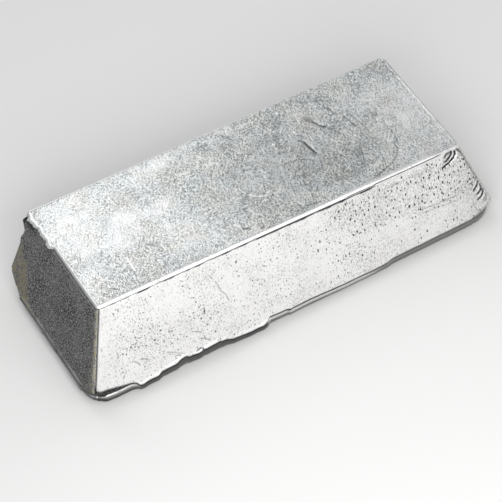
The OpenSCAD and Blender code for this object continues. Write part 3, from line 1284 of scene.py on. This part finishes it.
        # Grit, which on the left and towards the right edge of the long walls is also painted shade
        skin.grain = reduce(np.maximum, (
            on_end * np.where(left, self.left_grit_and_shade, self.right_grit), on_wall * skin.free * (x < 0),
            self.side_grit_and_shade * on_long * smooth_step(x, *self.grit_and_shade_start),
        ))
        start_y, start_depth = self.oxide_start
        past_edge = depth - start_depth - self.oxide_fall * (start_y - y)
        past_edge += self.oxide_waver.at(places)
        oxide = (on_wall & left) * smooth_step(past_edge, -self.oxide_softness, self.oxide_softness)
        *frost, dull = (
            vertices.is_top * np.exp(-(((x - patch_x) / length) ** 2) - ((y - patch_y) / width) ** 2)
            for patch_x, patch_y, length, width in (*self.frosted, self.dull)
        )
        skin.bloom = reduce(np.maximum, frost) * self.frosting.share_at(places, self.most_frost)
        skin.tarnish = reduce(np.maximum, (skin.tarnish, oxide, dull))


def add_node(
    tree: Tree, kind: str, inputs: dict[str | int, Any] | tuple = (), output: str | int = 0, **settings: Any
) -> Socket | None:
    """Adds a node with its settings, values and links.

    Args:
        tree: Node tree to add to.
        kind: Blender's name for the kind of node, without ShaderNode before it.
        inputs: Value of each input, or the output that feeds it, in order or by the input's name or number.
        output: Name or number of the output that is wanted.
        **settings: Properties of the node itself.

    Returns:
        That output, or nothing for a node without any.
    """
    node = tree.nodes.new("ShaderNode" + kind)
    for name, value in settings.items():
        setattr(node, name, value)
    for name, value in inputs.items() if isinstance(inputs, dict) else enumerate(inputs):
        if isinstance(value, Socket):
            tree.links.new(value, node.inputs[name])
        else:
            node.inputs[name].default_value = value
    return node.outputs[output] if node.outputs else None


# Numbers of the Mix node's sockets, which share their names
MIX_A, MIX_B, MIX_OUT = 6, 7, 2


def new_tree(owner: bpy.types.Material | bpy.types.World) -> Tree:
    """Empties the node tree of a material or world and returns it."""
    owner.use_nodes = True
    owner.node_tree.nodes.clear()
    return owner.node_tree


def add_object(name: str, data: bpy.types.ID) -> bpy.types.Object:
    """Adds an object to the scene.

    Args:
        name: Its name.
        data: Its mesh, lamp or lens.

    Returns:
        The object.
    """
    made = bpy.data.objects.new(name, data)
    bpy.context.scene.collection.objects.link(made)
    return made


def per_mm(size: float) -> float:
    """Scale of a pattern whose features have a size in millimetres."""
    return 1 / (size * MM)


def folded(tree: Tree, values: Iterable[Socket], operation: str) -> Socket:
    """Joins values one by one, which keeps few of them waiting.

    Args:
        tree: Node tree to add to.
        values: The values, each made when its turn comes.
        operation: The Math node's name for the operation that joins two.

    Returns:
        What they come to together.
    """
    return reduce(
        lambda before, value: add_node(tree, "Math", (before, value), operation=operation), values
    )


def draw_marks(
    tree: Tree, place: Socket, marks: Iterable[Mark], on_face: Callable[[float, float], Vector]
) -> Socket:
    """Shows marks as fine lines along their paths.

    Args:
        tree: Node tree to add to.
        place: Places on the surface.
        marks: The marks to show.
        on_face: Turns a place on the marks' face into one in the part's frame.

    Returns:
        A mask that is 1 on a strong mark.
    """
    add = partial(add_node, tree)
    core_share = 0.3

    def gaps(mark: Mark) -> Iterator[Socket]:
        """Distances to the stretches of a mark's path."""
        corners = [on_face(*corner) for corner in mark.path]
        for start, end in zip(corners[:-1], corners[1:]):
            run = end - start
            away = add("VectorMath", (place, start), operation="SUBTRACT")
            along = add("VectorMath", (away, run / run.length_squared), "Value", operation="DOT_PRODUCT")
            share = add("Clamp", (along,))
            nearest = add("VectorMath", {0: run, "Scale": share}, operation="SCALE")
            yield add("VectorMath", (away, nearest), "Value", operation="DISTANCE")

    def masks() -> Iterator[Socket]:
        """Masks of the marks."""
        for mark in marks:
            width = mark.width * MM
            gap = folded(tree, gaps(mark), "MINIMUM")
            yield add("MapRange", (gap, width, core_share * width, 0.0, mark.strength))

    return folded(tree, masks(), "MAXIMUM")


def cast_metal(tree: Tree, colour: Socket, gloss: Socket, height: Socket, relief: float) -> None:
    """Ends a material as bare metal.

    Args:
        tree: Node tree to add to.
        colour: Colour of the metal.
        gloss: Its roughness.
        height: Its fine relief, from 0 to about 1.
        relief: How high that is, in millimetres.
    """
    add = partial(add_node, tree)
    bump = add("Bump", {"Height": height, "Strength": 1.0, "Distance": relief * MM})
    look = {"Base Color": colour, "Metallic": 1.0, "Roughness": gloss, "Normal": bump}
    add("OutputMaterial", {"Surface": add("BsdfPrincipled", look)})


def shaken_place(tree: Tree, place: Socket, size: float, reach: float) -> Socket:
    """Shifts places about, so that what is drawn there gets uneven edges.

    Args:
        tree: Node tree to add to.
        place: Places on the surface.
        size: Size of one wobble in millimetres.
        reach: How far places are shifted, in millimetres.

    Returns:
        The shifted places.
    """
    add = partial(add_node, tree)
    shake = add("TexNoise", {"Vector": place, "Scale": per_mm(size), "Detail": 1.0}, "Color")
    shift = add("VectorMath", (shake, (0.5, 0.5, 0.5)), operation="SUBTRACT")
    return add("VectorMath", (shift, (reach * MM,) * 3, place), operation="MULTIPLY_ADD")


@dataclass(frozen=True)
class MouldFloorSkin:
    """Chill-cast pewter, skin of the mould floor.

    A satin face, frosted and mottled where the mould coating printed through, with a fine
    grain and handling scratches that run across it.
    """

    dull: str = "#8E9192"
    silver: str = "#F4F5F4"
    frost: str = "#FBFBFA"
    tarnish: str = "#8E9193"
    darkening: str = "#2E3238"
    # Thin films of oxide, which tint the grey by patches
    cool_film: str = "#F8FBFC"
    warm_film: str = "#FBFAF6"
    film_size: float = 9.0
    film_share: Place = (0.38, 0.62)
    pour: Pour = Pour()
    # How far the grain, the mottling and the frost take the tone from dull to silver
    grain_tone: Stretch = (0.38, 0.62, 0.0, 1.15)
    mottle_size: float = 15.0
    mottle_tone: Stretch = (0.3, 0.7, -0.28, 0.28)
    frost_size: float = 2.6
    frost_tone: Stretch = (0.3, 0.7, -0.22, 0.22)
    frost_gloss: Stretch = (0.3, 0.7, 0.34, 0.46)
    # The real fibres are about a fifth as coarse, too fine to show
    fibre_width: float = 0.37
    fibre_length: float = 0.85
    swirl: float = 0.45
    # Patches within which the fibres lie one way
    patch_size: float = 8.0
    patch_share: Place = (0.38, 0.52)
    # The real scratches are a few hundredths wide, too fine to show
    scratch_width: float = 0.5
    scratch_length: float = 7.0
    scratch_share: Place = (0.62, 0.74)
    # Angles from straight across the ingot of the bright scratches and the dark ones, and their strengths
    scratch_turns: tuple[float, ...] = (6.0, -14.0, 38.0)
    scratch_strength: float = 0.55
    furrow_turn: float = 24.0
    furrow_strength: float = 0.35
    scratch_relief: float = 0.5
    bloom_strength: float = 0.62
    tarnish_strength: float = 0.42
    wobble_size: float = 0.7
    wobble: float = 0.4
    relief: float = 0.04

    def material(self) -> bpy.types.Material:
        """Makes the material."""
        material = bpy.data.materials.new("chill_cast_pewter_floor_skin")
        tree = new_tree(material)
        add = partial(add_node, tree)
        place = add("TexCoord", output="Object")
        mottle, frost = (
            add("TexNoise", {"Vector": place, "Scale": per_mm(size), "Detail": 4.0, "Roughness": roughness})
            for size, roughness in ((self.mottle_size, 0.6), (self.frost_size, 0.7))
        )
        grain = self._fibres(tree, place)
        tone = add("MapRange", (grain, *self.grain_tone))
        for value, stretch in ((mottle, self.mottle_tone), (frost, self.frost_tone)):
            share = add("MapRange", (value, *stretch))
            tone = add("Math", (tone, share), operation="ADD")
        colour = add(
            "Mix", {0: tone, MIX_A: linear(self.dull), MIX_B: linear(self.silver)}, MIX_OUT, data_type="RGBA"
        )
        hue = add("TexNoise", {"Vector": place, "Scale": per_mm(self.film_size), "Detail": 2.0})
        hue = add("MapRange", (hue, *self.film_share))
        film = add(
            "Mix", {0: hue, MIX_A: linear(self.cool_film), MIX_B: linear(self.warm_film)}, MIX_OUT,
            data_type="RGBA",
        )
        colour = add(
            "Mix", {0: 1.0, MIX_A: colour, MIX_B: film}, MIX_OUT, data_type="RGBA", blend_type="MULTIPLY"
        )
        scratch = folded(
            tree, (self._scratches(tree, place, turn) for turn in self.scratch_turns), "MAXIMUM"
        )
        bloom, gleam, tarnish = (
            add("Attribute", output="Fac", attribute_name=name) for name in ("bloom", "gleam", "tarnish")
        )
        shaken = shaken_place(tree, place, self.wobble_size, self.wobble)
        nicks = draw_marks(tree, shaken, MARKS[Face.TOP, Tone.BRIGHT], self.pour.on_top)
        darkening = draw_marks(tree, shaken, MARKS[Face.TOP, Tone.DARK], self.pour.on_top)
        furrow = self._scratches(tree, place, self.furrow_turn)
        furrow = add("Math", (furrow, self.furrow_strength), operation="MULTIPLY")
        darkening = add("Math", (darkening, furrow), operation="MAXIMUM")
        # The gleam attribute here is the painted highlight along the bead of the lip
        bright = add("Math", (scratch, self.scratch_strength, gleam), operation="MULTIPLY_ADD")
        bright = add("Math", (bloom, self.bloom_strength, bright), operation="MULTIPLY_ADD", use_clamp=True)
        bright = add("Math", (bright, nicks), operation="MAXIMUM")
        dimmed = add("Math", (tarnish, self.tarnish_strength), operation="MULTIPLY")
        layers = (
            (dimmed, self.tarnish, "MULTIPLY"), (bright, self.frost, "MIX"), (darkening, self.darkening, "MIX"),
        )
        for share, shown, blend in layers:
            sockets = {0: share, MIX_A: colour, MIX_B: linear(shown)}
            colour = add("Mix", sockets, MIX_OUT, data_type="RGBA", blend_type=blend)
        gloss = add("MapRange", (frost, *self.frost_gloss))
        height = add("Math", (scratch, -self.scratch_relief, grain), operation="MULTIPLY_ADD")
        cast_metal(tree, colour, gloss, height, self.relief)
        return material

    def _fibres(self, tree: Tree, place: Socket) -> Socket:
        """Fine fibrous grain that runs along the ingot in some patches and across it in others.

        Args:
            tree: Node tree to add to.
            place: Places on the surface.

        Returns:
            The grain, about 0.3 to 0.7.
        """
        add = partial(add_node, tree)
        fine, long = per_mm(self.fibre_width), per_mm(self.fibre_length)
        look = {"Scale": 1.0, "Detail": 1.0, "Roughness": 0.6, "Distortion": self.swirl}
        lengthwise, crosswise = (
            add("TexNoise", {"Vector": add("Mapping", {"Vector": place, "Scale": scale}), **look})
            for scale in ((long, fine, fine), (fine, long, fine))
        )
        patch = add("TexNoise", {"Vector": place, "Scale": per_mm(self.patch_size), "Detail": 1.0})
        share = add("MapRange", (patch, *self.patch_share))
        return add("Mix", {0: share, 2: lengthwise, 3: crosswise})

    def _scratches(self, tree: Tree, place: Socket, turn: float) -> Socket:
        """Fine straight scratches.

        Args:
            tree: Node tree to add to.
            place: Places on the surface.
            turn: Angle of the scratches from straight across the ingot, in degrees.

        Returns:
            A mask that is 1 on a scratch.
        """
        add = partial(add_node, tree)
        turned = add("Mapping", {"Vector": place, "Rotation": (0, 0, math.radians(turn))})
        scale = (per_mm(self.scratch_width), per_mm(self.scratch_length), per_mm(self.scratch_length))
        drawn = add("Mapping", {"Vector": turned, "Scale": scale})
        lines = add("TexNoise", {"Vector": drawn, "Scale": 1.0, "Detail": 1.0})
        return add("MapRange", (lines, *self.scratch_share))


@dataclass(frozen=True)
class Scatter:
    """Small pits strewn over the long walls.

    The spacing is in millimetres, the length is that of a pit down the wall for each millimetre along
    it, the radii are the smallest and largest as shares of the spacing, and the attribute says which
    share of the places holds a pit. The rarity is that of large pits, and the core is the share of the
    smallest radius that is fully dark.
    """

    attribute: str
    spacing: float
    length: float
    radii: Place
    rarity: float = 2.0
    core: float = 0.8


@dataclass(frozen=True)
class MouldWallSkin:
    """Chill-cast pewter, skin of the mould walls and of the free surface.

    Pale and satin against the wall, with fine streaks down it and dark gas pits; duller grey
    where the melt set free of the mould, and straw coloured by oxide in the corners. It also
    carries painted shade in crevices, grooves and on the rolled edge, and painted highlights
    along beads, ridges and fold lips.
    """

    pale: str = "#FAF9F8"
    shade: str = "#CCCBC9"
    straw: str = "#D0C59A"
    free: str = "#8E8E8A"
    # Colour of the painted highlights along beads, ridges, the left end and fold lips, and of the fin's
    # brighter edge
    gleam: str = "#FCFCFB"
    # Dark grit, which also paints shade on the left end and towards the right edge of the long walls
    grit: str = "#4A4A48"
    # Colour of the pits, which also paints the shade in crevices, grooves, the recess and on the rolled edge
    pit: str = "#1C2028"
    pour: Pour = Pour()
    mottle_size: float = 11.0
    mottle_tone: Stretch = (0.35, 0.65, -0.25, 0.32)
    # Streaks and grain are about a third as coarse on the real skin, too fine to show
    streak_width: float = 0.42
    streak_length: float = 1.0
    streak_tone: Stretch = (0.34, 0.66, -0.7, 0.7)
    # Strength of the streaks: how much more there is where the skin is rain-pitted, and elsewhere
    streak_gain: Place = (1.2, 0.85)
    rain_tone: float = 0.3
    grain_size: float = 0.42
    grit_share: Stretch = (0.61, 0.53, 0.0, 0.97)
    grit_veil: Stretch = (0.38, 0.62, 1.0, 0.78)
    grit_relief: float = 4.5
    oxide_width: float = 1.0
    oxide_length: float = 2.2
    oxide_share: Stretch = (0.41, 0.59, 0.0, 1.0)
    # Oxide hides this share of the grit
    oxide_cover: float = 0.9
    rain_width: float = 0.62
    rain_length: float = 1.4
    rain_share: Place = (0.37, 0.28)
    rain_strength: float = 0.5
    pits: Scatter = Scatter("pits", 2.0, 1.0, (0.06, 0.20))
    dashes: Scatter = Scatter("rain", 1.5, 2.0, (0.13, 0.26))
    pins: Scatter = Scatter("pits", 1.1, 1.0, (0.10, 0.22))
    # Share of the radius of a pit that stands out which is fully dark, and how deep all dark marks are
    pit_core: float = 0.5
    pit_relief: float = 3.0
    wobble_size: float = 0.45
    wobble: float = 0.5
    mould_gloss: float = 0.38
    free_gloss: float = 0.30
    relief: float = 0.04

    def material(self) -> bpy.types.Material:
        """Makes the material."""
        material = bpy.data.materials.new("chill_cast_pewter_wall_skin")
        tree = new_tree(material)
        add = partial(add_node, tree)
        place = add("TexCoord", output="Object")
        mottle = add(
            "TexNoise",
            {"Vector": place, "Scale": per_mm(self.mottle_size), "Detail": 4.0, "Roughness": 0.55},
        )
        streak = self._drawn_noise(tree, place, self.streak_width, self.streak_length, 2.0, 0.6)
        grain = add("TexNoise", {"Vector": place, "Scale": per_mm(self.grain_size), "Detail": 2.0})
        values = {
            name: add("Attribute", output="Fac", attribute_name=name)
            for name in ("free", "tarnish", "darkening", "gleam", "rain", "grain")
        }
        fine = add("MapRange", (streak, *self.streak_tone))
        gain = add("Math", (values["rain"], *self.streak_gain), operation="MULTIPLY_ADD")
        cloud = add("MapRange", (mottle, *self.mottle_tone))
        tone = add("Math", (fine, gain, cloud), operation="MULTIPLY_ADD")
        tone = add(
            "Math", (values["rain"], self.rain_tone, tone), operation="MULTIPLY_ADD", use_clamp=True
        )
        oxide = self._drawn_noise(tree, place, self.oxide_width, self.oxide_length, 2.0, 0.6)
        stain = add("MapRange", (oxide, *self.oxide_share))
        stain = add("Math", (values["tarnish"], stain), operation="MULTIPLY")
        specks_and_shade = add("MapRange", (grain, *self.grit_share))
        clean = add("Math", (stain, -self.oxide_cover, values["grain"]), operation="MULTIPLY_ADD")
        specks_and_shade = add("Math", (specks_and_shade, clean), operation="MULTIPLY", use_clamp=True)
        veil = add("MapRange", (mottle, *self.grit_veil))
        specks_and_shade = add("Math", (specks_and_shade, veil), operation="MULTIPLY")
        shaken = shaken_place(tree, place, self.wobble_size, self.wobble)
        dark = folded(tree, self._dark(tree, shaken, values["darkening"], values["rain"]), "MAXIMUM")
        # Painted highlights on the lips between the folds of the front
        lip_highlights = draw_marks(tree, shaken, MARKS[Face.FRONT, Tone.BRIGHT], self.pour.on_front)
        bright = add("Math", (lip_highlights, values["gleam"]), operation="MAXIMUM")
        colour = linear(self.pale)
        layers = (
            (tone, self.shade), (values["free"], self.free), (stain, self.straw), (specks_and_shade, self.grit),
            (bright, self.gleam), (dark, self.pit),
        )
        for share, shown in layers:
            sockets = {0: share, MIX_A: colour, MIX_B: linear(shown)}
            colour = add("Mix", sockets, MIX_OUT, data_type="RGBA")

        gloss = add("MapRange", (values["free"], 0.0, 1.0, self.mould_gloss, self.free_gloss))
        grit = add("Math", (values["grain"], grain), operation="MULTIPLY")
        ridges = add("Math", (streak, gain), operation="MULTIPLY")
        height = add("Math", (grit, self.grit_relief, ridges), operation="MULTIPLY_ADD")
        height = add("Math", (dark, -self.pit_relief, height), operation="MULTIPLY_ADD")
        cast_metal(tree, colour, gloss, height, self.relief)
        return material

    def _drawn_noise(
        self, tree: Tree, place: Socket, width: float, length: float, detail: float, roughness: float
    ) -> Socket:
        """Noise that is drawn out down the walls.

        Args:
            tree: Node tree to add to.
            place: Places on the surface.
            width: Width of a feature in millimetres.
            length: Its length down the wall.
            detail: How many times finer noise is laid over it.
            roughness: Strength of that.

        Returns:
            Values about 0.3 to 0.7.
        """
        scale = (per_mm(width), per_mm(width), per_mm(length))
        drawn = add_node(tree, "Mapping", {"Vector": place, "Scale": scale})
        look = {"Vector": drawn, "Scale": 1.0, "Detail": detail, "Roughness": roughness}
        return add_node(tree, "TexNoise", look)

    def _dark(self, tree: Tree, place: Socket, darkening: Socket, wet: Socket) -> Iterator[Socket]:
        """Masks of everything dark on the walls: the painted shade, the marks, the scattered pits and those
        that stand out.

        Args:
            tree: Node tree to add to.
            place: Places on the surface.
            darkening: How dark the painted shade is.
            wet: How much the skin is pitted like wet plaster in rain.

        Returns:
            The masks one by one, each 1 where the skin is dark.
        """
        add = partial(add_node, tree)
        yield darkening
        yield draw_marks(tree, place, MARKS[Face.FRONT, Tone.DARK], self.pour.on_front)
        yield self._scattered(tree, place, self.pits)
        spots = self._drawn_noise(tree, place, self.rain_width, self.rain_length, 1.0, 0.5)
        spots = add("MapRange", (spots, *self.rain_share))
        rain = add("Math", (spots, wet), operation="MULTIPLY")
        yield add("Math", (rain, self.rain_strength), operation="MULTIPLY")
        yield self._scattered(tree, place, self.dashes)
        yield self._scattered(tree, place, self.pins)
        for x, depth, radius in FRONT_PITS:
            gap = add("VectorMath", (place, self.pour.on_front(x, depth)), "Value", operation="DISTANCE")
            yield add("MapRange", (gap, radius * MM, self.pit_core * radius * MM))

    def _scattered(self, tree: Tree, place: Socket, scatter: Scatter) -> Socket:
        """Small pits strewn over the long walls.

        Args:
            tree: Node tree to add to.
            place: Places on the surface.
            scatter: How they are strewn.

        Returns:
            A mask that is 1 in a pit.
        """
        add = partial(add_node, tree)
        smallest, largest = scatter.radii
        scale = (per_mm(scatter.spacing), 1.0, per_mm(scatter.spacing * scatter.length))
        facing = add("Mapping", {"Vector": place, "Scale": scale, "Rotation": (-math.pi / 2, 0, 0)})
        distance = add("TexVoronoi", {"Vector": facing, "Scale": 1.0}, "Distance", voronoi_dimensions="2D")
        chance = add("SeparateColor", (distance.node.outputs["Color"],), "Red")
        density = add("Attribute", output="Fac", attribute_name=scatter.attribute)
        present = add("Math", (chance, density), operation="LESS_THAN")
        large = add("Math", (chance.node.outputs["Green"], scatter.rarity), operation="POWER")
        radius = add("MapRange", (large, 0.0, 1.0, smallest, largest))
        inside = add("MapRange", (distance, radius, scatter.core * smallest))
        return add("Math", (present, inside), operation="MULTIPLY")


@dataclass(frozen=True)
class Softbox:
    """Soft rectangular lamp, with its place and size in millimetres."""

    name: str
    place: tuple[float, float, float]
    size: tuple[float, float]
    watts: float
    aim: tuple[float, float, float] = (0.0, 0.0, 20.0)


@dataclass(frozen=True)
class Studio:
    """Plain pale floor, soft lamps and the camera."""

    # Camera: turn round the part, height and roll in degrees, distance and aim in millimetres
    azimuth: float = -20.018
    elevation: float = 46.27
    roll: float = -10.714
    distance: float = 1095.36
    aim: tuple[float, float, float] = (-6.359, -15.104, 18.0)
    # Focal length as a share of the picture's width
    focal_share: float = 6.3
    sensor: float = 36.0
    floor_colour: str = "#F4F4F2"
    floor_half: float = 4000.0
    world_colour: str = "#F2F3F5"
    world_strength: float = 0.56
    lamps: tuple[Softbox, ...] = (
        Softbox("front_softbox", (-130.0, -360.0, 300.0), (300.0, 220.0), 1.08),
        Softbox("low_softbox", (20.0, -430.0, 70.0), (170.0, 60.0), 0.075),
        Softbox("edge_softbox", (150.0, -350.0, 330.0), (160.0, 120.0), 0.19),
        Softbox("overhead_softbox", (20.0, 388.0, 462.0), (320.0, 300.0), 0.43),
    )
    # Grey card beside the left end: span along X and Y, height over the floor and height of its far side
    card_x: Place = (-300.0, -62.0)
    card_y: Place = (-36.0, 320.0)
    card_lift: float = 1.0
    card_height: float = 36.0
    card_colour: str = "#9C9C9C"

    def build(self) -> None:
        """Makes the floor, the card, the lamps, the world and the camera."""
        floor = bmesh.new()
        bmesh.ops.create_grid(floor, x_segments=1, y_segments=1, size=self.floor_half * MM)
        self._sheet(floor, "studio_floor", "matt_paper_floor", self.floor_colour)
        self._card()
        for lamp in self.lamps:
            self._lamp(lamp)
        self._world()
        self._camera()
        bpy.context.scene.view_settings.view_transform = "Standard"

    def _sheet(self, shape: bmesh.types.BMesh, name: str, finish: str, colour: str) -> bpy.types.Object:
        """Makes a matt stage piece.

        Args:
            shape: Its shape, which is used up.
            name: Its name.
            finish: Name of its material.
            colour: Its colour.

        Returns:
            The piece, in the scene.
        """
        mesh = bpy.data.meshes.new(name)
        shape.to_mesh(mesh)
        shape.free()
        material = bpy.data.materials.new(finish)
        tree = new_tree(material)
        shader = add_node(tree, "BsdfDiffuse", {"Color": linear(colour)})
        add_node(tree, "OutputMaterial", {"Surface": shader})
        mesh.materials.append(material)
        return add_object(name, mesh)

    def _card(self) -> None:
        """Grey card that lies beside the left end and stands up behind it.

        It darkens only what that end mirrors.
        """
        card = bmesh.new()
        bmesh.ops.create_grid(card, x_segments=1, y_segments=1, size=0.5)
        (left, right), (near, far) = self.card_x, self.card_y
        spread = Matrix.Diagonal((right - left, far - near, 1, 1))
        middle = Matrix.Translation(((left + right) / 2, (near + far) / 2, self.card_lift))
        bmesh.ops.transform(card, matrix=Matrix.Scale(MM, 4) @ middle @ spread, verts=card.verts)
        outer = [edge for edge in card.edges if all(vert.co.x < (left + 1) * MM for vert in edge.verts)]
        made = bmesh.ops.extrude_edge_only(card, edges=outer)["geom"]
        upper = [item for item in made if isinstance(item, bmesh.types.BMVert)]
        bmesh.ops.translate(card, vec=(0, 0, self.card_height * MM), verts=upper)
        sheet = self._sheet(card, "grey_card", "matt_grey_card", self.card_colour)
        sheet.visible_camera = sheet.visible_diffuse = sheet.visible_shadow = False

    def _lamp(self, softbox: Softbox) -> None:
        """Adds one soft lamp, turned to its aim."""
        light = bpy.data.lights.new(softbox.name, "AREA")
        light.shape = "RECTANGLE"
        light.size, light.size_y = (side * MM for side in softbox.size)
        light.energy = softbox.watts
        lamp = add_object(softbox.name, light)
        lamp.location = Vector(softbox.place) * MM
        run = (Vector(softbox.aim) - Vector(softbox.place)) * MM
        lamp.rotation_euler = run.to_track_quat("-Z", "Y").to_euler()

    def _world(self) -> None:
        """Even pale light from all round."""
        world = bpy.data.worlds.new("pale_room")
        tree = new_tree(world)
        light = {"Color": linear(self.world_colour), "Strength": self.world_strength}
        add_node(tree, "OutputWorld", {"Surface": add_node(tree, "Background", light)})
        bpy.context.scene.world = world

    def _camera(self) -> None:
        """Camera at the viewing angle of the photograph."""
        turn, lift, roll = (math.radians(angle) for angle in (self.azimuth, self.elevation, self.roll))
        back = Vector((math.sin(turn) * math.cos(lift), -math.cos(turn) * math.cos(lift), math.sin(lift)))
        right = Vector((math.cos(turn), math.sin(turn), 0))
        up = back.cross(right)
        side = math.cos(roll) * right + math.sin(roll) * up
        over = -math.sin(roll) * right + math.cos(roll) * up
        eye = (Vector(self.aim) + back * self.distance) * MM
        lens = bpy.data.cameras.new("photo_camera")
        lens.sensor_fit = "HORIZONTAL"
        lens.sensor_width = self.sensor
        lens.lens = self.sensor * self.focal_share
        camera = add_object("photo_camera", lens)
        camera.matrix_world = Matrix.Translation(eye) @ Matrix((side, over, back)).transposed().to_4x4()
        bpy.context.scene.camera = camera


def main() -> None:
    """Builds the casting, dresses it and sets up the studio."""
    logging.basicConfig(level=logging.INFO, format="%(message)s")
    casting = Casting()
    piece = casting.build()
    casting.dress(piece, MouldFloorSkin(), MouldWallSkin())
    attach(piece, "root")
    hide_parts("ingot")
    triangles = sum(len(face.vertices) - 2 for face in piece.data.polygons)
    LOG.info("%s: %d triangles", piece.name, triangles)
    Studio().build()
    LOG.info("studio ready")


if __name__ == "__main__":
    main()
